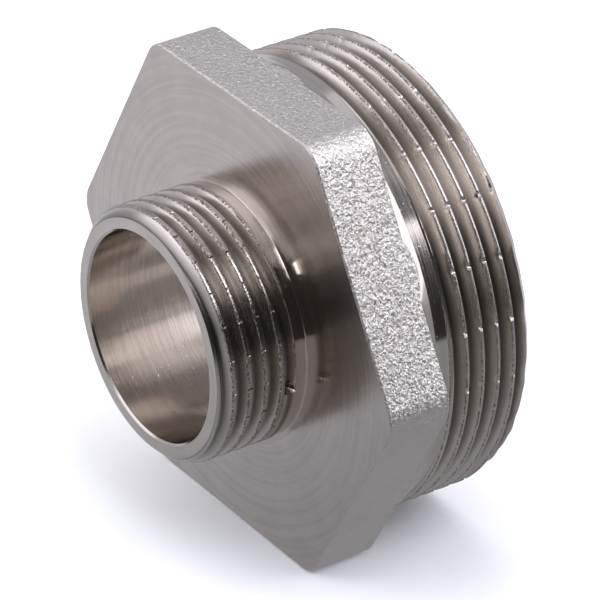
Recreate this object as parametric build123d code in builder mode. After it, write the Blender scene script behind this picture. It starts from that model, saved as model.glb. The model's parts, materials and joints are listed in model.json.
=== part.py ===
"""Reducing hex nipple, G2 x G1, one forged and turned brass body.

The axis lies along Y. The small G1 end points to -Y and the large G2 end to +Y. Two flats of the
hexagon are level, so the part rests on its lower flat with +Z up. The origin is on the axis, in the
front face of the hexagon, where the small neck grows out of it.
"""

import os
from math import ceil, cos, radians, sin, tan

from build123d import *

os.makedirs("parts", exist_ok=True)

# Pipe threads of form G: 55 degree flanks, 11 turns to the inch, right-handed.
PITCH = 25.4 / 11
FLANK_ANGLE = 27.5
THREAD_DEPTH = 0.640327 * PITCH
CREST_WIDTH = PITCH / 6
ROOT_WIDTH = PITCH / 6
SMALL_MAJOR_R = 33.249 / 2
LARGE_MAJOR_R = 59.614 / 2
CUTTER_STAND_OUT = 0.25

# Hexagon, with corners rounded by the forging.
ACROSS_FLATS = 60.0
HEX_THICKNESS = 8.5
HEX_CORNER_R = 4.0
HEX_EDGE_BREAK = 0.2

# Round collar behind the hexagon, and the plain band between it and the large thread.
COLLAR_R = 30.25
COLLAR_END_Y = 9.85
RELIEF_R = 29.35
RELIEF_END_Y = 11.9

# Ends of the part along the axis.
SMALL_END_Y = -12.45
LARGE_END_Y = 24.2
SMALL_LEAD_CHAMFER = 0.87
LARGE_LEAD_CHAMFER = 1.25

# Neck between the hexagon and the small thread.
NECK_R = 16.45
NECK_START_Y = -1.55

# Bore: straight through the small end, opening to a wider bore in the large end.
BORE_R = 13.65
BORE_END_Y = 4.0
WIDE_BORE_R = 25.0
WIDE_BORE_START_Y = 10.5
BORE_EDGE_BREAK = 0.5
WIDE_BORE_EDGE_BREAK = 0.6

# Each thread has a crest at this place on the +Z line. Its groove stops short of the hexagon at the
# given angle, the given number of crests on from there. Angles run from +Z towards -X, so the crest
# of a right-hand thread moves towards -Y as its angle grows.
SMALL_CREST_AT_TOP_Y = -11.1
SMALL_RUN_OUT_CREST = 3
SMALL_RUN_OUT_ANGLE = -101.0
LARGE_CREST_AT_TOP_Y = 13.88
LARGE_RUN_OUT_CREST = -1
LARGE_RUN_OUT_ANGLE = 70.0


def groove_centre_y(crest_at_top_y, crest, angle):
    """Axial place of the groove on the +Y side of a crest, at an angle around the axis."""
    return crest_at_top_y + (crest + 0.5) * PITCH - PITCH * angle / 360


def radial_direction(angle):
    """Unit vector out from the axis, at an angle from +Z towards -X."""
    return Vector(-sin(radians(angle)), 0, cos(radians(angle)))


def groove_corners(stand_out):
    """Corners of the groove's section: x out from the major radius, y along the axis."""
    mouth = (PITCH - CREST_WIDTH) / 2 + stand_out * tan(radians(FLANK_ANGLE))
    root = ROOT_WIDTH / 2
    return [(-THREAD_DEPTH, -root), (stand_out, -mouth), (stand_out, mouth), (-THREAD_DEPTH, root)]


small_start_y = groove_centre_y(SMALL_CREST_AT_TOP_Y, SMALL_RUN_OUT_CREST, SMALL_RUN_OUT_ANGLE)
large_start_y = groove_centre_y(LARGE_CREST_AT_TOP_Y, LARGE_RUN_OUT_CREST, LARGE_RUN_OUT_ANGLE)

# Outlines of the two turned ends, as (place on the axis, radius). They meet inside the hexagon.
MEETING_Y = HEX_THICKNESS / 2
small_end_outline = [
    (MEETING_Y, 0),
    (MEETING_Y, NECK_R),
    (NECK_START_Y, NECK_R),
    (NECK_START_Y - (SMALL_MAJOR_R - NECK_R), SMALL_MAJOR_R),
    (SMALL_END_Y + SMALL_LEAD_CHAMFER, SMALL_MAJOR_R),
    (SMALL_END_Y, SMALL_MAJOR_R - SMALL_LEAD_CHAMFER),
    (SMALL_END_Y, 0),
]
large_end_outline = [
    (MEETING_Y, 0),
    (MEETING_Y, RELIEF_R),
    (RELIEF_END_Y, RELIEF_R),
    (RELIEF_END_Y + LARGE_MAJOR_R - RELIEF_R, LARGE_MAJOR_R),
    (LARGE_END_Y - LARGE_LEAD_CHAMFER, LARGE_MAJOR_R),
    (LARGE_END_Y, LARGE_MAJOR_R - LARGE_LEAD_CHAMFER),
    (LARGE_END_Y, 0),
]

# Outline of the bore, from the small mouth to the large one.
bore_outline = [
    (SMALL_END_Y, 0),
    (SMALL_END_Y, BORE_R + BORE_EDGE_BREAK),
    (SMALL_END_Y + BORE_EDGE_BREAK, BORE_R),
    (BORE_END_Y, BORE_R),
    (WIDE_BORE_START_Y, WIDE_BORE_R),
    (LARGE_END_Y - WIDE_BORE_EDGE_BREAK, WIDE_BORE_R),
    (LARGE_END_Y, WIDE_BORE_R + WIDE_BORE_EDGE_BREAK),
    (LARGE_END_Y, 0),
]


def threaded_end(outline, major_r, start_y, towards):
    """Turned end along +Z, with its groove cut turn by turn from the +X side at the origin."""
    local_outline = [(r, towards * (y - start_y)) for y, r in outline]
    length = max(z for _, z in local_outline)
    turns = ceil(length / PITCH + 0.5)
    with BuildPart() as end:
        with BuildSketch(Plane.XZ):
            with BuildLine():
                Polyline(*local_outline, close=True)
            make_face()
        revolve(axis=Axis.Z)
        for turn in range(turns):
            with BuildLine() as path:
                Helix(pitch=PITCH, height=PITCH, radius=major_r, center=(0, 0, turn * PITCH))
            with BuildSketch(Plane(origin=path.line @ 0, x_dir=(1, 0, 0), z_dir=path.line % 0)):
                with BuildLine():
                    Polyline(*groove_corners(CUTTER_STAND_OUT), close=True)
                make_face()
            sweep(path=path.line, is_frenet=True, mode=Mode.SUBTRACT)
    return end.part


def run_out(start_y, start_angle, towards):
    """Where a groove stops short of the hexagon, looking along Y to the end of the part."""
    out = radial_direction(start_angle)
    return Plane(origin=(0, start_y, 0), x_dir=out, z_dir=(0, towards, 0)).location


small_end = threaded_end(small_end_outline, SMALL_MAJOR_R, small_start_y, -1)
large_end = threaded_end(large_end_outline, LARGE_MAJOR_R, large_start_y, 1)

with BuildPart() as nipple_body:
    # The hexagon, with rounded corners and a fine break round its turned front face.
    with BuildSketch(Plane.XZ.offset(-HEX_THICKNESS)) as hexagon:
        RegularPolygon(ACROSS_FLATS / 2, 6, major_radius=False)
        fillet(hexagon.vertices(), HEX_CORNER_R)
    extrude(amount=HEX_THICKNESS)
    front_face = nipple_body.faces().sort_by(Axis.Y)[0]
    chamfer(front_face.edges(), HEX_EDGE_BREAK)

    # The collar is turned a little larger than the flats, which run on across it.
    with BuildSketch(Plane.XZ.offset(-COLLAR_END_Y)):
        Circle(COLLAR_R)
        RegularPolygon(ACROSS_FLATS / 2, 6, major_radius=False, mode=Mode.INTERSECT)
    extrude(amount=COLLAR_END_Y - MEETING_Y)

    # The threaded ends, then the bore through the whole part.
    with Locations(run_out(small_start_y, SMALL_RUN_OUT_ANGLE, -1)):
        add(small_end)
    with Locations(run_out(large_start_y, LARGE_RUN_OUT_ANGLE, 1)):
        add(large_end)
    with BuildSketch(Plane.YZ):
        with BuildLine():
            Polyline(*bore_outline, close=True)
        make_face()
    revolve(axis=Axis.Y, mode=Mode.SUBTRACT)

nipple_body.part.label = "nipple_body"
export_step(nipple_body.part, "parts/nipple_body.step")
print("volume mm3", nipple_body.part.volume, "valid", nipple_body.part.is_valid)
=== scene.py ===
"""Looks of the reducing hex nipple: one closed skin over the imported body, its finishes, stage and camera.

Lengths are in millimetres until the skin becomes a mesh. An angle runs round the axis from +Z towards -X.
"""

import json
from math import ceil, cos, pi, radians, sin, tan

import bpy
import numpy as np
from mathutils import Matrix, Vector, noise


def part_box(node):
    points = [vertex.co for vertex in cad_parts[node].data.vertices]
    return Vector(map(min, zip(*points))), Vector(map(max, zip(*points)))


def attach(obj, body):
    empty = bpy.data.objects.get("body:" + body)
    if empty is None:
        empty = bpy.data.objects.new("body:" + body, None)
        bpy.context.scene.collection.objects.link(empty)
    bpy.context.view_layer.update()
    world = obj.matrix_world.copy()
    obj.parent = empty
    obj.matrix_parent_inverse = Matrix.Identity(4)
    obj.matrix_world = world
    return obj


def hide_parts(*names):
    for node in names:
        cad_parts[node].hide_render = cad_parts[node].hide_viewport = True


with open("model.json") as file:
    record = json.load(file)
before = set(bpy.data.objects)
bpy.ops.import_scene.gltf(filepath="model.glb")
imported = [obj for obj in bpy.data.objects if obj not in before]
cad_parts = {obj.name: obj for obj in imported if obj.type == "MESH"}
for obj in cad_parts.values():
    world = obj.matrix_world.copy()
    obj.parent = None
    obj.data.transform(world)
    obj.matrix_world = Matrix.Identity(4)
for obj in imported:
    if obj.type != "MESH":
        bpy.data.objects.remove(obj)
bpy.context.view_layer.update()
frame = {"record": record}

MM = 0.001
CAD_NODE = "nipple_body"
low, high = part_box(CAD_NODE)
mounts = {mount["name"]: mount for mount in frame["record"]["mounts"]}


def mount_size(name, size):
    """A size that the record gives for a mount, in millimetres."""
    return mounts[name]["dims"][size]


# Sizes from the frame.
SMALL_END_Y = low.y / MM
LARGE_END_Y = high.y / MM
APOTHEM = high.z / MM
SMALL_MAJOR_R = mount_size("small_thread", "r_mm")
LARGE_MAJOR_R = mount_size("large_thread", "r_mm")
BORE_R = mount_size("through_bore", "r_mm")
WIDE_BORE_R = mount_size("wide_bore", "r_mm")

# Threads. Each has a crest at this place on the +Z line. Its groove stops short of the hexagon, at a run-out
# counted in turns from that crest. Rows of nicks stand round it in even steps, one of them at the nick angle.
PITCH = 25.4 / 11
FLANK_SLOPE = 1 / tan(radians(27.5))
ROOT_ROUND = 0.36
SMALL_CREST_AT_TOP_Y = -11.1
SMALL_RUN_OUT = 3 + 101 / 360
SMALL_NICK_AT = 13.65
LARGE_CREST_AT_TOP_Y = 13.88
LARGE_RUN_OUT = -1 - 70 / 360
LARGE_NICK_AT = 11.5
NICK_ROWS = 24
NICK_STEP = 360 / NICK_ROWS

# Hexagon and collar.
HEX_THICKNESS = 8.5
HEX_CORNER_R = 4.0
HEX_EDGE_BREAK = 0.2
COLLAR_R = 30.25
COLLAR_TAPER = 0.26
COLLAR_END_Y = 9.85
COLLAR_EDGE_BREAK = 0.1
RELIEF_R = 29.35
RELIEF_END_Y = 11.9

# Ends, neck and bore.
SMALL_LEAD_CHAMFER = 1.2
LARGE_LEAD_CHAMFER = 1.25
NECK_R = 16.45
NECK_START_Y = -1.55
NECK_FILLET = 0.12
BORE_END_Y = 4.0
WIDE_BORE_START_Y = 10.5
BORE_EDGE_BREAK = 0.25
WIDE_BORE_EDGE_BREAK = 0.6
LARGE_END_WEAR = 0.1

# The skin's fineness, and the slope between two faces from which their edge stays sharp, in degrees.
RING_GAP = 0.03
HEX_STEP = 0.36
FLAT_RINGS = 24
COLLAR_RINGS = 5
FILLET_TURNS = (30, 60, 90)
SHARP_FROM = 32

# Where the rings of the plain turned surfaces are: distances from the axis, then places along it.
FACE_RINGS_R = (NECK_R + 0.5, 20, 24, 28)
NECK_RINGS_Y = (-0.7, -NECK_FILLET)
RELIEF_RINGS_Y = (COLLAR_END_Y + 0.6, RELIEF_END_Y - 0.5, RELIEF_END_Y)
WIDE_BORE_RINGS_Y = (LARGE_END_Y - WIDE_BORE_EDGE_BREAK, WIDE_BORE_START_Y + 4, WIDE_BORE_START_Y)
BORE_RINGS_Y = (BORE_END_Y - 1, -4, SMALL_END_Y + BORE_EDGE_BREAK)

# A Mix node's sockets when it mixes colours.
FIRST_COLOUR = 6
SECOND_COLOUR = 7
MIXED_COLOUR = 2

# Zones of the skin, each with its own finish.
ZONES = ["faced_end", "small_thread", "neck", "hexagon_face", "forged_flats", "collar", "relief",
         "large_thread", "large_end", "bore"]

chance = np.random.default_rng(11)


# ---------------------------------------------------------------- the skin


def place(angles, y, r):
    """Points at angles in degrees round the axis, at places along it and distances from it."""
    turn = np.radians(angles)
    y, r = np.broadcast_to(y, turn.shape), np.broadcast_to(r, turn.shape)
    return np.stack([-r * np.sin(turn), y, r * np.cos(turn)], axis=-1)


class Skin:
    """A closed skin gathered from loops of points, each of its faces with a zone."""

    def __init__(self):
        self.points = []
        self.count = 0
        self.faces = []
        self.zones = []

    def add(self, points):
        """Adds points and returns their numbers."""
        points = np.asarray(points, float).reshape(-1, 3)
        self.points.append(points)
        self.count += len(points)
        return np.arange(self.count - len(points), self.count)

    def ring(self, angles, y, r):
        return self.add(place(angles, y, r))

    def face(self, corners, zone):
        """Adds a face. Its corners come clockwise as seen from outside, and one that repeats is left out."""
        kept = [c for n, c in enumerate(corners) if c != corners[n - 1]]
        if len(set(kept)) > 2:
            self.faces.append(kept[::-1])
            self.zones.append(ZONES.index(zone))

    def band(self, first, second, zone):
        """Faces between two loops with the same columns. The zone is one name, or one for each column."""
        size = len(first)
        for n in range(size):
            m = (n + 1) % size
            here = zone if isinstance(zone, str) else zone[n]
            self.face([first[n], first[m], second[m], second[n]], here)

    def rings(self, before, angles, places, zone):
        """Joins plain rings on to a loop, each at a place along the axis and a radius. Returns the last."""
        for y, r in places:
            ring = self.ring(angles, y, r)
            self.band(before, ring, zone)
            before = ring
        return before

    def stitch(self, first, first_angles, second, second_angles, zone):
        """Triangles between two loops whose columns differ, taken in the order of their angles."""
        a = np.append(first_angles, first_angles[0] + 360)
        b = np.append(second_angles, second_angles[0] + 360)
        i = j = 0
        while i < len(first) or j < len(second):
            here, there = first[i % len(first)], second[j % len(second)]
            if j == len(second) or (i < len(first) and a[i + 1] <= b[j + 1]):
                i += 1
                self.face([here, first[i % len(first)], there], zone)
            else:
                j += 1
                self.face([here, second[j % len(second)], there], zone)


def nicked_columns(nick_at, major_r, half_width, between):
    """Angles of a thread's columns: close together across its nicks, and spread out between them."""
    half = np.degrees(half_width / major_r)
    across = np.array([-1, -0.66, -0.33, 0, 0.33, 0.66, 1]) * half
    gap = np.linspace(half, NICK_STEP - half, between + 2)[1:-1]
    offsets = np.append(across, gap)
    angles = [nick_at + NICK_STEP * n + offset for n in range(NICK_ROWS) for offset in offsets]
    return np.sort((np.array(angles) + 180) % 360 - 180)


def groove_depth(off_centre, crest_width, crest_round):
    """Depth of a groove under the crest, at a distance from its centre.

    Its flanks are straight, and its root and the edges of its crests are round.
    """
    half = (PITCH - crest_width) / 2
    rise = np.hypot(FLANK_SLOPE * half, ROOT_ROUND)
    depth = rise - np.hypot(FLANK_SLOPE * off_centre, ROOT_ROUND)
    return (depth + np.hypot(depth, crest_round)) / 2


def stations(crest_width):
    """Places across one pitch, from the centre of a groove, where the skin has a line of points."""
    edge = (PITCH - crest_width) / 2
    side = [0.09, 0.2, 0.36, 0.6, edge - 0.12, edge - 0.05, edge, edge + 0.05]
    return np.array([-s for s in reversed(side)] + [0] + side + [PITCH / 2])


class Nicks:
    """Small dents that stand in rows along the axis, one across each crest from first to last."""

    CRESTS = 8
    SMALLEST = 0.6
    LARGEST = 1.25

    def __init__(self, at, half_width, half_length, depth, first, last):
        self.at = at
        self.half_width = half_width
        self.half_length = half_length
        self.depth = depth
        self.first = first
        self.last = last
        self.sizes = chance.uniform(self.SMALLEST, self.LARGEST, (NICK_ROWS, self.CRESTS))

    def dent(self, angle, turns, major_r):
        """Depth under the crest, at an angle and at a number of turns from the crest on the +Z line."""
        crest = np.round(turns)
        row = np.round((angle - self.at) / NICK_STEP)
        size = self.sizes[row.astype(int) % NICK_ROWS, crest.astype(int) % self.CRESTS]
        across = np.radians(angle - self.at - NICK_STEP * row) * major_r / self.half_width
        length = (turns - crest) * PITCH / self.half_length
        dent = self.depth * size * np.maximum(1 - across ** 2 - length ** 2, 0)
        return np.where((crest >= self.first) & (crest <= self.last), dent, 0)


class Thread:
    """A right-hand thread's shape: its radius at any place, with nicks across its crests."""

    def __init__(self, major_r, crest_y, run_out, towards_small_end, crest_width, crest_round, envelope,
                 nicks):
        self.major_r = major_r
        self.crest_y = crest_y
        self.run_out = run_out
        self.towards_small_end = towards_small_end
        self.crest_width = crest_width
        self.crest_round = crest_round
        self.envelope = envelope
        self.nicks = nicks

    def radius(self, angle, y):
        turns = (y - self.crest_y) / PITCH + angle / 360
        groove = np.floor(turns)
        depth = groove_depth(np.abs(turns - groove - 0.5) * PITCH, self.crest_width, self.crest_round)
        along = groove - angle / 360
        cut = along <= self.run_out if self.towards_small_end else along >= self.run_out
        r = self.major_r - np.where(cut, depth, 0)
        r = np.minimum(r, self.envelope(angle, y))
        return np.minimum(r, self.major_r - self.nicks.dent(angle, turns, self.major_r))

    def skin(self, skin, angles, first, start_y, last, end_y, zone):
        """Fills the stretch between two rings, with its lines of points along the helix."""
        offsets = stations(self.crest_width)
        per_turn = len(offsets)
        lowest = np.floor((start_y - self.crest_y) / PITCH + angles[0] / 360) - 2
        turns = int(np.ceil((end_y - start_y) / PITCH)) + 4
        at_top = np.concatenate([(lowest + 0.5 + k) * PITCH + offsets for k in range(turns)]) + self.crest_y
        numbers = np.empty((len(at_top), len(angles) + 1), int)
        for column, angle in enumerate(angles):
            y = at_top - PITCH * angle / 360
            inside = (y > start_y + RING_GAP) & (y < end_y - RING_GAP)
            numbers[y <= start_y + RING_GAP, column] = first[column]
            numbers[y >= end_y - RING_GAP, column] = last[column]
            here = np.full(inside.sum(), angle)
            numbers[inside, column] = skin.add(place(here, y[inside], self.radius(here, y[inside])))
        numbers[per_turn:, -1] = numbers[:-per_turn, 0]
        numbers[:per_turn, -1] = first[0]
        for column in range(len(angles)):
            left, right = numbers[:, column], numbers[:, column + 1]
            for n in range(len(at_top) - 1):
                skin.face([left[n], right[n], right[n + 1], left[n + 1]], zone)


def small_envelope(angle, y):
    """Outside of the small end, before its groove is cut: lead chamfer, full radius, neck."""
    chamfer = SMALL_MAJOR_R - SMALL_LEAD_CHAMFER + (y - SMALL_END_Y)
    neck = NECK_R + np.maximum(NECK_START_Y - y, 0)
    return np.minimum(np.minimum(chamfer, neck), SMALL_MAJOR_R)


def large_envelope(angle, y):
    """Outside of the large end, before its groove is cut: cone up from the relief, worn lead chamfer."""
    cone = RELIEF_R + np.maximum(y - RELIEF_END_Y, 0)
    turn = np.radians(angle)
    wear = LARGE_END_WEAR * np.sin(37 * turn) * np.sin(11 * turn + 1)
    chamfer = LARGE_MAJOR_R - np.maximum(y - (LARGE_END_Y - LARGE_LEAD_CHAMFER) + wear, 0)
    return np.minimum(cone, np.minimum(chamfer, LARGE_MAJOR_R))


small_thread = Thread(
    SMALL_MAJOR_R, SMALL_CREST_AT_TOP_Y, SMALL_RUN_OUT, towards_small_end=True,
    crest_width=0.6, crest_round=0.1, envelope=small_envelope,
    nicks=Nicks(SMALL_NICK_AT, half_width=0.13, half_length=0.5, depth=0.16, first=0, last=3))
large_thread = Thread(
    LARGE_MAJOR_R, LARGE_CREST_AT_TOP_Y, LARGE_RUN_OUT, towards_small_end=False,
    crest_width=0.32, crest_round=0.1, envelope=large_envelope,
    nicks=Nicks(LARGE_NICK_AT, half_width=0.5, half_length=0.65, depth=0.36, first=0, last=4))


def with_run_out(angles, run_out):
    """Adds a column on each side of the angle where a groove stops, in place of one too near to it."""
    beside, too_near = 0.25, 0.4
    stop = -(run_out % 1) * 360
    stop = (stop + 180) % 360 - 180
    kept = angles[np.abs(angles - stop) > too_near]
    return np.sort(np.append(kept, [stop - beside, stop + beside]))


small_angles = nicked_columns(SMALL_NICK_AT, SMALL_MAJOR_R, half_width=0.2, between=5)
small_angles = with_run_out(small_angles, SMALL_RUN_OUT)
large_angles = nicked_columns(LARGE_NICK_AT, LARGE_MAJOR_R, half_width=0.5, between=8)
large_angles = with_run_out(large_angles, LARGE_RUN_OUT)


def hexagon_outline(step):
    """Points round the hexagon's outline, with its outward directions and the points' angles.

    Its flats are at 0, 60 and so on in degrees, and its corners are round.
    """
    half_flat = (APOTHEM - HEX_CORNER_R) * tan(radians(30))
    corner_centre = (APOTHEM - HEX_CORNER_R) / cos(radians(30))
    on_flat = ceil(2 * half_flat / step)
    on_corner = ceil(radians(60) * HEX_CORNER_R / step)
    points, outs = [], []
    for side in range(6):
        turn = radians(60 * side)
        out = np.array([-sin(turn), 0, cos(turn)])
        along = np.array([-cos(turn), 0, -sin(turn)])
        for t in np.linspace(-half_flat, half_flat, on_flat, endpoint=False):
            points.append(APOTHEM * out + t * along)
            outs.append(out)
        corner = radians(60 * side + 30)
        centre = corner_centre * np.array([-sin(corner), 0, cos(corner)])
        for turn in np.radians(60 * side + np.linspace(0, 60, on_corner, endpoint=False)):
            out = np.array([-sin(turn), 0, cos(turn)])
            points.append(centre + HEX_CORNER_R * out)
            outs.append(out)
    points, outs = np.array(points), np.array(outs)
    angles = np.degrees(np.arctan2(-points[:, 0], points[:, 2]))
    order = np.argsort(angles)
    return points[order], outs[order], angles[order]


hex_points, hex_outs, hex_angles = hexagon_outline(HEX_STEP)


def forged_height(point):
    """How far the forged surface stands out from its flat, a few hundredths of a millimetre."""
    coarse_size, coarse_height = 1.7, 0.022
    fine_size, fine_height = 0.42, 0.02
    coarse = noise.fractal(Vector(point) / coarse_size, 1.0, 2.0, 3)
    fine = noise.noise(Vector(point) / fine_size)
    return coarse_height * coarse + fine_height * fine


def forged_outline(y):
    """The hexagon's outline at a place along the axis, with its forged unevenness."""
    shifted = hex_points + [0, y, 0]
    lift = np.array([forged_height(point) for point in shifted])
    return shifted + lift[:, None] * hex_outs


def add_small_end(skin):
    """Face, lead chamfer, thread and neck. Returns the bore's mouth and the foot of the neck."""
    mouth = skin.ring(small_angles, SMALL_END_Y, BORE_R + BORE_EDGE_BREAK)
    rim = skin.ring(small_angles, SMALL_END_Y, small_thread.radius(small_angles, SMALL_END_Y))
    skin.band(mouth, rim, "faced_end")
    neck = skin.ring(small_angles, NECK_START_Y, NECK_R)
    small_thread.skin(skin, small_angles, rim, SMALL_END_Y, neck, NECK_START_Y, "small_thread")
    places = [(y, NECK_R) for y in NECK_RINGS_Y]
    for turn in FILLET_TURNS:
        a = radians(turn)
        places.append((-NECK_FILLET * (1 - sin(a)), NECK_R + NECK_FILLET * (1 - cos(a))))
    return mouth, skin.rings(neck, small_angles, places, "neck")


def add_hexagon(skin, neck_foot):
    """Turned face out to its broken edge, and the forged flats. Returns the loop where the collar starts."""
    face = skin.rings(neck_foot, small_angles, [(0, r) for r in FACE_RINGS_R], "hexagon_face")
    before = skin.add(hex_points - HEX_EDGE_BREAK * hex_outs)
    skin.stitch(face, small_angles, before, hex_angles, "hexagon_face")
    for y in np.linspace(HEX_EDGE_BREAK, HEX_THICKNESS, FLAT_RINGS):
        loop = skin.add(forged_outline(y))
        skin.band(before, loop, "forged_flats")
        before = loop
    return before


def add_collar(skin, before):
    """Collar, which tapers a little and which the flats cross. Returns its foot."""
    radii = np.hypot(hex_points[:, 0], hex_points[:, 2])
    for y in np.linspace(HEX_THICKNESS, COLLAR_END_Y, COLLAR_RINGS):
        collar_r = COLLAR_R - COLLAR_TAPER * (y - HEX_THICKNESS)
        on_flat = radii < collar_r
        outline = np.where(on_flat[:, None], forged_outline(y), place(hex_angles, y, collar_r))
        if y == HEX_THICKNESS:
            # The flats run on into the collar, so only the corners step in.
            loop = before.copy()
            loop[~on_flat] = skin.add(outline[~on_flat])
            skin.band(before, loop, "collar")
        else:
            loop = skin.add(outline)
            both = on_flat & np.roll(on_flat, -1)
            skin.band(before, loop, np.where(both, "forged_flats", "collar"))
        before = loop
    return skin.rings(before, hex_angles, [(COLLAR_END_Y, RELIEF_R + COLLAR_EDGE_BREAK)], "collar")


def add_large_end(skin, collar_foot):
    """Relief, thread and end face. Returns the wide bore's mouth."""
    relief = skin.ring(large_angles, COLLAR_END_Y + COLLAR_EDGE_BREAK, RELIEF_R)
    skin.stitch(collar_foot, hex_angles, relief, large_angles, "collar")
    relief = skin.rings(relief, large_angles, [(y, RELIEF_R) for y in RELIEF_RINGS_Y], "relief")
    rim = skin.ring(large_angles, LARGE_END_Y, large_thread.radius(large_angles, LARGE_END_Y))
    large_thread.skin(skin, large_angles, relief, RELIEF_END_Y, rim, LARGE_END_Y, "large_thread")
    mouth = (LARGE_END_Y, WIDE_BORE_R + WIDE_BORE_EDGE_BREAK)
    return skin.rings(rim, large_angles, [mouth], "large_end")


def add_bores(skin, wide_mouth, mouth):
    """Wide bore, cone and small bore, from one mouth through to the other."""
    before = skin.rings(wide_mouth, large_angles, [(y, WIDE_BORE_R) for y in WIDE_BORE_RINGS_Y], "bore")
    inner = skin.ring(small_angles, BORE_END_Y, BORE_R)
    skin.stitch(before, large_angles, inner, small_angles, "bore")
    before = skin.rings(inner, small_angles, [(y, BORE_R) for y in BORE_RINGS_Y], "bore")
    skin.band(before, mouth, "bore")


def build_skin():
    """The whole skin: from the small end over the outside, and back through the bores."""
    skin = Skin()
    mouth, neck_foot = add_small_end(skin)
    collar_start = add_hexagon(skin, neck_foot)
    collar_foot = add_collar(skin, collar_start)
    wide_mouth = add_large_end(skin, collar_foot)
    add_bores(skin, wide_mouth, mouth)
    return skin


def skin_object(skin, name):
    """Turns the skin into a mesh in metres, smooth but for its real edges."""
    mesh = bpy.data.meshes.new(name)
    points = np.concatenate(skin.points) * MM
    mesh.from_pydata(points.tolist(), [], skin.faces)
    mesh.polygons.foreach_set("material_index", skin.zones)
    mesh.polygons.foreach_set("use_smooth", [True] * len(mesh.polygons))
    mesh.set_sharp_from_angle(angle=radians(SHARP_FROM))
    mesh.validate()
    piece = bpy.data.objects.new(name, mesh)
    bpy.context.scene.collection.objects.link(piece)
    return piece


# ---------------------------------------------------------------- finishes


class Finish:
    """A node material, with short names for the nodes that it uses."""

    def __init__(self, name):
        self.material = bpy.data.materials.new(name)
        self.material.use_nodes = True
        self.tree = self.material.node_tree
        self.shader = self.tree.nodes["Principled BSDF"]
        self.shader.inputs["Metallic"].default_value = 1.0
        geometry = self.node("ShaderNodeNewGeometry")
        self.normal = geometry.outputs["Normal"]
        self.point = self.node("ShaderNodeTexCoord").outputs["Object"]
        x, y, z = self.split(self.point)
        self.length = y
        self.radius = self.root(self.sum(self.times(x, x), self.times(z, z)))
        self.unit_x = self.math("DIVIDE", x, self.radius)
        self.unit_z = self.math("DIVIDE", z, self.radius)

    def node(self, kind, **settings):
        made = self.tree.nodes.new(kind)
        for name, value in settings.items():
            setattr(made, name, value)
        return made

    def put(self, socket, value):
        """Joins a socket to an output, or sets it to a plain value."""
        if isinstance(value, bpy.types.NodeSocket):
            self.tree.links.new(value, socket)
        else:
            socket.default_value = value

    def math(self, operation, *values):
        made = self.node("ShaderNodeMath", operation=operation)
        for socket, value in zip(made.inputs, values):
            self.put(socket, value)
        return made.outputs[0]

    def vector(self, operation, *values):
        made = self.node("ShaderNodeVectorMath", operation=operation)
        for socket, value in zip(made.inputs, values):
            self.put(socket, value)
        return made.outputs[0]

    def sum(self, a, b):
        return self.math("ADD", a, b)

    def times(self, a, b):
        return self.math("MULTIPLY", a, b)

    def root(self, a):
        return self.math("SQRT", a)

    def split(self, vector):
        made = self.node("ShaderNodeSeparateXYZ")
        self.put(made.inputs[0], vector)
        return made.outputs[0], made.outputs[1], made.outputs[2]

    def join(self, x, y, z):
        made = self.node("ShaderNodeCombineXYZ")
        for socket, value in zip(made.inputs, (x, y, z)):
            self.put(socket, value)
        return made.outputs[0]

    def noise(self, vector, scale, detail=2.0, roughness=0.5):
        made = self.node("ShaderNodeTexNoise")
        self.put(made.inputs["Vector"], vector)
        made.inputs["Scale"].default_value = scale
        made.inputs["Detail"].default_value = detail
        made.inputs["Roughness"].default_value = roughness
        return made.outputs["Fac"]

    def ramp(self, value, low, high, to_low, to_high):
        """Maps a value from one range to another, held at the ends."""
        made = self.node("ShaderNodeMapRange")
        for socket, number in zip(made.inputs, (value, low, high, to_low, to_high)):
            self.put(socket, number)
        return made.outputs[0]

    def mix(self, factor, first, second):
        """Mixes two colours."""
        made = self.node("ShaderNodeMix", data_type="RGBA")
        self.put(made.inputs["Factor"], factor)
        self.put(made.inputs[FIRST_COLOUR], first)
        self.put(made.inputs[SECOND_COLOUR], second)
        return made.outputs[MIXED_COLOUR]

    def bump(self, height, depth, under=None):
        """A bump of a depth in metres, over another one."""
        made = self.node("ShaderNodeBump")
        made.inputs["Distance"].default_value = depth
        self.put(made.inputs["Height"], height)
        if under is not None:
            self.put(made.inputs["Normal"], under)
        return made.outputs["Normal"]

    def tool_marks(self, along, lines_per_metre, drift):
        """Place for noise that is drawn out round the axis, as a turning tool's lines are.

        The higher drift is, the faster a line changes on its way round.
        """
        across = self.times(along, lines_per_metre)
        return self.join(self.times(self.unit_x, drift), across, self.times(self.unit_z, drift))

    def along_helix(self):
        """Place along the axis of the thread turn that a point is on, taken back to the +Z line."""
        x, y, z = self.split(self.point)
        turn = self.times(self.math("ARCTAN2", self.times(x, -1.0), z), PITCH * MM / (2 * pi))
        return self.sum(y, turn)

    def across_marks(self):
        """Direction on the surface at right angles to the tool marks."""
        round_axis = self.vector("CROSS_PRODUCT", (0, 1, 0), self.point)
        return self.vector("NORMALIZE", self.vector("CROSS_PRODUCT", round_axis, self.normal))


NICKEL = (0.67, 0.615, 0.553, 1)
NICKEL_DARK = (0.51, 0.46, 0.41, 1)
NICKEL_MATT = (0.76, 0.715, 0.65, 1)
# Dark colour for the burrs, for the painted shade in the thread roots, and for the dirt on the lands.
BURR_DIRT_AND_SHADE_DARK = (0.12, 0.105, 0.095, 1)


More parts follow.
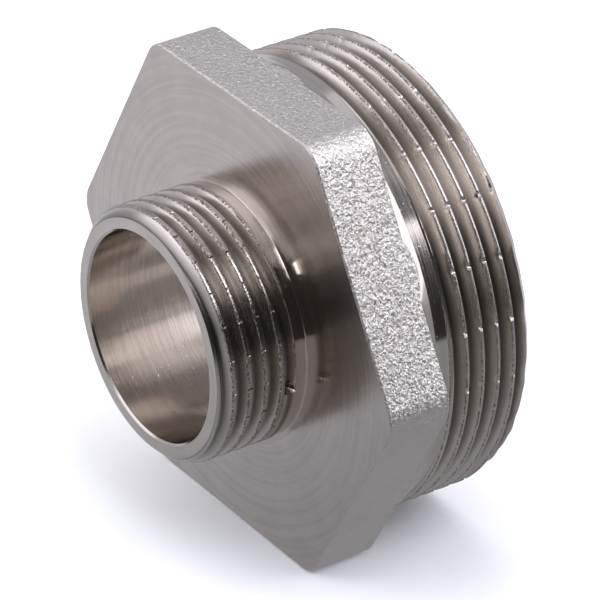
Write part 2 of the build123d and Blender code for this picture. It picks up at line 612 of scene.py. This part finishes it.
def turned(name, along, roughness, anisotropy, lines_per_mm, line_depth):
    """Turned and plated metal: fine and coarse lines round the axis, with painted shade where they are deep,
    and pits.
    """
    pits_per_metre, pit_depth = 2600.0, 1.5e-5
    finish = Finish(name)
    across = {"radius": finish.radius, "length": finish.length, "helix": finish.along_helix()}[along]
    fine_marks = finish.tool_marks(across, lines_per_mm * 1000, drift=2.5)
    fine = finish.noise(fine_marks, 1.0, detail=2.0, roughness=0.6)
    coarse_marks = finish.tool_marks(across, lines_per_mm * 280, drift=1.2)
    coarse = finish.noise(coarse_marks, 1.0, detail=1.0, roughness=0.5)
    lines = finish.sum(finish.times(fine, 0.6), finish.times(coarse, 0.9))
    normal = finish.bump(lines, line_depth)
    pits = finish.noise(finish.point, pits_per_metre, 1.0)
    normal = finish.bump(finish.ramp(pits, 0.72, 0.8, 0, -1), pit_depth, normal)
    grime = finish.noise(finish.point, 220.0, 4.0, 0.6)
    shade = finish.ramp(grime, 0.35, 0.75, 0, 0.35)
    # Painted shade in the deep parts of the tool lines.
    shade = finish.sum(shade, finish.ramp(lines, 0.6, 0.85, 0.34, 0))
    rough = finish.ramp(fine, 0.3, 0.7, roughness * 0.85, roughness * 1.2)
    finish.put(finish.shader.inputs["Base Color"], finish.mix(shade, NICKEL, NICKEL_DARK))
    finish.put(finish.shader.inputs["Roughness"], rough)
    finish.put(finish.shader.inputs["Normal"], normal)
    finish.shader.inputs["Anisotropic"].default_value = anisotropy
    finish.put(finish.shader.inputs["Tangent"], finish.across_marks())
    return finish


def threaded(name, thread, roughness, land_grain, land_dirt):
    """A thread's finish: lines along the helix, painted shade in the roots, torn and dirty lands, and burrs.

    The burrs stand along the edge of each crest that is nearer to the small end.
    """
    finish = turned(name, "helix", roughness, anisotropy=0.3, lines_per_mm=5.0, line_depth=9e-6)
    land_softness, root_start, root_full, burr_depth = 0.06, 0.72, 0.12, 6e-5
    turns = finish.times(finish.sum(finish.along_helix(), -thread.crest_y * MM), 1 / (PITCH * MM))
    off_crest = finish.times(finish.sum(turns, finish.times(finish.math("ROUND", turns), -1.0)), PITCH)
    half = thread.crest_width / 2
    away = finish.math("ABSOLUTE", off_crest)
    on_land = finish.ramp(away, half - land_softness, half + land_softness, 1, 0)
    # Where the roots are: painted shade there, and higher roughness.
    in_shaded_root = finish.ramp(away, PITCH / 2 - root_start, PITCH / 2 - root_full, 0, 1)
    near_edge = finish.math("ABSOLUTE", finish.sum(off_crest, half))
    on_edge = finish.ramp(near_edge, 0.03, 0.1, 1, 0)
    torn = finish.noise(finish.point, 3800.0, 2.0, 0.7)
    dashes = finish.noise(finish.point, 3600.0, 2.0, 0.7)
    burr = finish.times(finish.ramp(dashes, 0.47, 0.57, 0, 1), on_edge)
    normal = finish.shader.inputs["Normal"].links[0].from_socket
    normal = finish.bump(finish.times(torn, on_land), land_grain, normal)
    normal = finish.bump(burr, burr_depth, normal)
    colour = finish.shader.inputs["Base Color"].links[0].from_socket
    rough = finish.shader.inputs["Roughness"].links[0].from_socket
    # Darker burrs, painted shade in the roots, and dirt on the lands.
    burr_dirt_and_root_shade = finish.sum(finish.times(burr, 0.6), finish.times(in_shaded_root, 0.8))
    dirt = finish.times(on_land, finish.ramp(torn, 0.35, 0.65, land_dirt * 0.5, land_dirt * 1.5))
    burr_dirt_and_root_shade = finish.sum(burr_dirt_and_root_shade, dirt)
    finish.put(finish.shader.inputs["Base Color"], finish.mix(burr_dirt_and_root_shade, colour, BURR_DIRT_AND_SHADE_DARK))
    finish.put(finish.shader.inputs["Roughness"], finish.sum(rough, finish.times(in_shaded_root, 0.12)))
    finish.put(finish.shader.inputs["Normal"], normal)
    return finish


def forged(name):
    """Forged and blasted metal under the plating: small facets that lean every way, over lumps and pits."""
    finish = Finish(name)
    lump_depth, pit_depth, warp = 2.2e-4, 8e-5, 4e-4
    stray = finish.node("ShaderNodeTexNoise")
    finish.put(stray.inputs["Vector"], finish.point)
    stray.inputs["Scale"].default_value = 1500.0
    warped = finish.vector("MULTIPLY_ADD", stray.outputs["Color"], (warp, warp, warp), finish.point)
    normal = finish.bump(finish.noise(finish.point, 1800.0, 3.0, 0.6), lump_depth)
    pits = finish.noise(finish.point, 1900.0, 2.0, 0.6)
    normal = finish.bump(finish.ramp(pits, 0.6, 0.72, 0, -1), pit_depth, normal)
    for facets_per_metre, lean in ((5000.0, 0.31), (9500.0, 0.25)):
        cells = finish.node("ShaderNodeTexVoronoi")
        finish.put(cells.inputs["Vector"], warped)
        cells.inputs["Scale"].default_value = facets_per_metre
        tilt = finish.vector("SUBTRACT", cells.outputs["Color"], (0.5, 0.5, 0.5))
        normal = finish.vector("MULTIPLY_ADD", tilt, (lean, lean, lean), normal)
    normal = finish.vector("NORMALIZE", normal)
    shade = finish.ramp(finish.noise(finish.point, 160.0, 4.0, 0.6), 0.35, 0.7, 0, 0.4)
    finish.put(finish.shader.inputs["Base Color"], finish.mix(shade, NICKEL_MATT, NICKEL))
    finish.shader.inputs["Roughness"].default_value = 0.38
    finish.put(finish.shader.inputs["Normal"], normal)
    return finish


def finishes():
    """One finish for each zone, in the order of ZONES."""
    return [
        turned("faced_end", "radius", roughness=0.3, anisotropy=0.3, lines_per_mm=5.0, line_depth=8e-6),
        threaded("small_thread", small_thread, roughness=0.19, land_grain=5e-5, land_dirt=0.36),
        turned("neck", "length", roughness=0.12, anisotropy=0.4, lines_per_mm=5.0, line_depth=5e-6),
        turned("hexagon_face", "radius", roughness=0.17, anisotropy=0.75, lines_per_mm=6.0, line_depth=9e-6),
        forged("forged_flats"),
        turned("collar", "length", roughness=0.18, anisotropy=0.5, lines_per_mm=4.0, line_depth=4e-6),
        turned("relief", "length", roughness=0.12, anisotropy=0.3, lines_per_mm=4.0, line_depth=8e-6),
        threaded("large_thread", large_thread, roughness=0.24, land_grain=4e-5, land_dirt=0.0),
        turned("large_end", "radius", roughness=0.3, anisotropy=0.4, lines_per_mm=5.0, line_depth=8e-6),
        turned("bore", "length", roughness=0.16, anisotropy=0.6, lines_per_mm=7.0, line_depth=9e-6),
    ]


nipple = skin_object(build_skin(), "nipple_skin")
for finish in finishes():
    nipple.data.materials.append(finish.material)
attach(nipple, "root")
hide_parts(CAD_NODE)


# ---------------------------------------------------------------- stage, light and camera


class Panel:
    """A soft-edged rectangle on the studio's dome, lit or dark, with its half sizes in degrees."""

    def __init__(self, azimuth, elevation, half_width, half_height, soft, radiance):
        self.azimuth = azimuth
        self.elevation = elevation
        self.half_width = half_width
        self.half_height = half_height
        self.soft = soft
        self.radiance = radiance


# Places are in metres, angles in degrees.
STUDIO_TINT = (0.975, 0.985, 1.1)
FLOOR_Z = low.z - 0.00006
FLOOR_REACH = 6.0
# Centre of the painted lit patch on the glowing floor card that only the metal sees.
FLOOR_PAINTED_LIT_PATCH = (-0.04, 0.06, low.z)
WALL_DISTANCE = 0.15
WALL_FOOT_Z = -0.018
WALL_COLUMNS = 12
SUN_ENERGY = 1.6
SUN_SPREAD = 70
SUN_AZIMUTH = -60
SUN_ELEVATION = 70
DOME_RADIANCE = 0.6

# The dome's panels, each laid over those before it. Their sides are named as the camera sees them.
PANELS = [
    Panel(-124, 30, 30, 30, 0.3, 0.45),  # dimmer stretch straight behind
    Panel(-32, 34, 25, 26, 0.25, 1.4),  # softbox on the left
    Panel(-37, 13, 15, 9, 0.3, 1.6),  # its brighter foot
    Panel(-95, 64, 28, 13, 0.3, 1.1),  # light high up, behind on the left
    Panel(157, 29, 30, 22, 0.15, 1.9),  # softbox on the right
    Panel(150, 66, 24, 13, 0.3, 0.35),  # dim stretch above it
    Panel(136, 50, 9, 11, 0.2, 0.12),  # dark flag at its near upper corner
    Panel(98, 58, 19, 14, 0.2, 5.0),  # lamp high up, in front on the right
]


def direction(azimuth, elevation):
    """Unit vector from the origin: azimuth 0 is -Y and 90 is +X."""
    a, e = radians(azimuth), radians(elevation)
    return Vector((sin(a) * cos(e), -cos(a) * cos(e), sin(e)))


def plain_material(name, colour, roughness):
    material = bpy.data.materials.new(name)
    material.use_nodes = True
    shader = material.node_tree.nodes["Principled BSDF"]
    shader.inputs["Base Color"].default_value = colour
    shader.inputs["Roughness"].default_value = roughness
    shader.inputs["Specular IOR Level"].default_value = 0.2
    return material


def stage_mesh(name, points, faces, material):
    mesh = bpy.data.meshes.new(name)
    mesh.from_pydata(points, [], faces)
    mesh.materials.append(material)
    made = bpy.data.objects.new(name, mesh)
    bpy.context.scene.collection.objects.link(made)
    return made


def only_in_reflections(made):
    """Keeps a card of the studio out of sight of the camera and out of the light on the floor."""
    made.visible_camera = False
    made.visible_shadow = False
    made.visible_diffuse = False


def floor_mesh(name, material):
    reach, z = FLOOR_REACH, FLOOR_Z
    corners = [(-reach, -reach, z), (reach, -reach, z), (reach, reach, z), (-reach, reach, z)]
    return stage_mesh(name, corners, [(0, 1, 2, 3)], material)


def floor_glow_material():
    """A glowing card that stands in for the floor as the metal sees it: painted shade towards +X, brighter
    towards -X, with a painted lit patch behind.
    """
    material = bpy.data.materials.new("painted_floor_glow")
    material.use_nodes = True
    tree = material.node_tree
    tree.nodes.remove(tree.nodes["Principled BSDF"])
    place_on_floor = tree.nodes.new("ShaderNodeTexCoord").outputs["Object"]
    x = tree.nodes.new("ShaderNodeSeparateXYZ")
    tree.links.new(place_on_floor, x.inputs[0])
    away = tree.nodes.new("ShaderNodeVectorMath")
    away.operation = "DISTANCE"
    tree.links.new(place_on_floor, away.inputs[0])
    away.inputs[1].default_value = FLOOR_PAINTED_LIT_PATCH
    glow = None
    for value, near, far, near_radiance, far_radiance in (
            (x.outputs["X"], -0.07, 0.02, 0.68, 0.35), (away.outputs["Value"], 0.03, 0.065, 1.0, 0)):
        part = tree.nodes.new("ShaderNodeMapRange")
        part.interpolation_type = "SMOOTHSTEP"
        tree.links.new(value, part.inputs["Value"])
        for name, number in (("From Min", near), ("From Max", far), ("To Min", near_radiance),
                             ("To Max", far_radiance)):
            part.inputs[name].default_value = number
        if glow is None:
            glow = part.outputs["Result"]
        else:
            both = tree.nodes.new("ShaderNodeMath")
            tree.links.new(glow, both.inputs[0])
            tree.links.new(part.outputs["Result"], both.inputs[1])
            glow = both.outputs[0]
    emission = tree.nodes.new("ShaderNodeEmission")
    emission.inputs["Color"].default_value = tinted(1.0)
    tree.links.new(glow, emission.inputs["Strength"])
    tree.links.new(emission.outputs[0], tree.nodes["Material Output"].inputs["Surface"])
    return material


def dark_wall(name, first, last, top, material):
    """A curved dark card on the unlit side of the studio, between two azimuths and up to an elevation."""
    points = []
    for n in range(WALL_COLUMNS + 1):
        foot = direction(first + (last - first) * n / WALL_COLUMNS, 0) * WALL_DISTANCE
        points.append((foot.x, foot.y, WALL_FOOT_Z))
        points.append((foot.x, foot.y, WALL_DISTANCE * tan(radians(top))))
    faces = [(2 * n, 2 * n + 2, 2 * n + 3, 2 * n + 1) for n in range(WALL_COLUMNS)]
    only_in_reflections(stage_mesh(name, points, faces, material))


def tinted(radiance):
    return tuple(radiance * part for part in STUDIO_TINT) + (1,)


def build_dome():
    """The studio round the object: an even dome with lit and dark panels, from first to last."""
    world = bpy.data.worlds.new("studio")
    world.use_nodes = True
    tree = world.node_tree

    def made(kind, operation, *values):
        node = tree.nodes.new(kind)
        node.operation = operation
        for socket, value in zip(node.inputs, values):
            if isinstance(value, bpy.types.NodeSocket):
                tree.links.new(value, socket)
            else:
                socket.default_value = value
        return node.outputs["Value"]

    towards = tree.nodes.new("ShaderNodeTexCoord").outputs["Generated"]
    colour = None
    for panel in PANELS:
        centre = direction(panel.azimuth, panel.elevation)
        right = direction(panel.azimuth + 90, 0)
        up = right.cross(centre)
        ahead = made("ShaderNodeVectorMath", "DOT_PRODUCT", towards, centre)
        reach = made("ShaderNodeMath", "MAXIMUM", ahead, 0.01)
        spread = []
        for axis, half in ((right, panel.half_width), (up, panel.half_height)):
            off = made("ShaderNodeVectorMath", "DOT_PRODUCT", towards, axis)
            off = made("ShaderNodeMath", "DIVIDE", off, reach)
            off = made("ShaderNodeMath", "ABSOLUTE", off)
            spread.append(made("ShaderNodeMath", "MULTIPLY", off, 1 / tan(radians(half))))
        edge = made("ShaderNodeMath", "MAXIMUM", *spread)
        inside = tree.nodes.new("ShaderNodeMapRange")
        inside.interpolation_type = "SMOOTHSTEP"
        tree.links.new(edge, inside.inputs["Value"])
        inside.inputs["From Min"].default_value = 1 + panel.soft
        inside.inputs["From Max"].default_value = 1 - panel.soft
        mix = tree.nodes.new("ShaderNodeMix")
        mix.data_type = "RGBA"
        tree.links.new(inside.outputs["Result"], mix.inputs["Factor"])
        if colour is None:
            mix.inputs[FIRST_COLOUR].default_value = tinted(DOME_RADIANCE)
        else:
            tree.links.new(colour, mix.inputs[FIRST_COLOUR])
        mix.inputs[SECOND_COLOUR].default_value = tinted(panel.radiance)
        colour = mix.outputs[MIXED_COLOUR]
    tree.links.new(colour, tree.nodes["Background"].inputs["Color"])
    bpy.context.scene.world = world


def build_stage():
    """Floor, dome, dark cards, and a soft sun that lights the floor alone."""
    floor = floor_mesh("floor", plain_material("floor_paper", (0.9, 0.9, 0.9, 1), 0.6))
    floor.visible_glossy = False
    # A glowing card with painted floor light and shade, seen only in reflections.
    only_in_reflections(floor_mesh("painted_floor_glow", floor_glow_material()))
    build_dome()
    black = plain_material("black_card", (0.02, 0.018, 0.016, 1), 0.9)
    dark_wall("dark_wall_front", first=8, last=75, top=50, material=black)
    dark_wall("dark_wall_side", first=75, last=125, top=43, material=black)
    sun = bpy.data.lights.new("floor_light", "SUN")
    sun.energy = SUN_ENERGY
    sun.angle = radians(SUN_SPREAD)
    floor_light = bpy.data.objects.new("floor_light", sun)
    bpy.context.scene.collection.objects.link(floor_light)
    towards_sun = direction(SUN_AZIMUTH, SUN_ELEVATION)
    floor_light.rotation_euler = towards_sun.to_track_quat("Z", "Y").to_euler()
    floor_light.visible_glossy = False


def build_camera():
    """A long lens, aimed a little to the right of the origin and above it. Lengths are in millimetres."""
    azimuth, elevation, distance = 55.69, 30.17, 581.9
    aim_right, aim_up = 8.4, 1.1
    back = direction(azimuth, elevation)
    right = Vector((cos(radians(azimuth)), sin(radians(azimuth)), 0))
    up = back.cross(right)
    data = bpy.data.cameras.new("camera")
    data.sensor_width = 36.0
    data.lens = 282.6
    data.clip_start = 10 * MM
    camera = bpy.data.objects.new("camera", data)
    bpy.context.scene.collection.objects.link(camera)
    camera.location = (aim_right * right + aim_up * up + distance * back) * MM
    camera.rotation_euler = back.to_track_quat("Z", "Y").to_euler()
    bpy.context.scene.camera = camera


build_stage()
build_camera()
bpy.context.scene.view_settings.view_transform = "Standard"
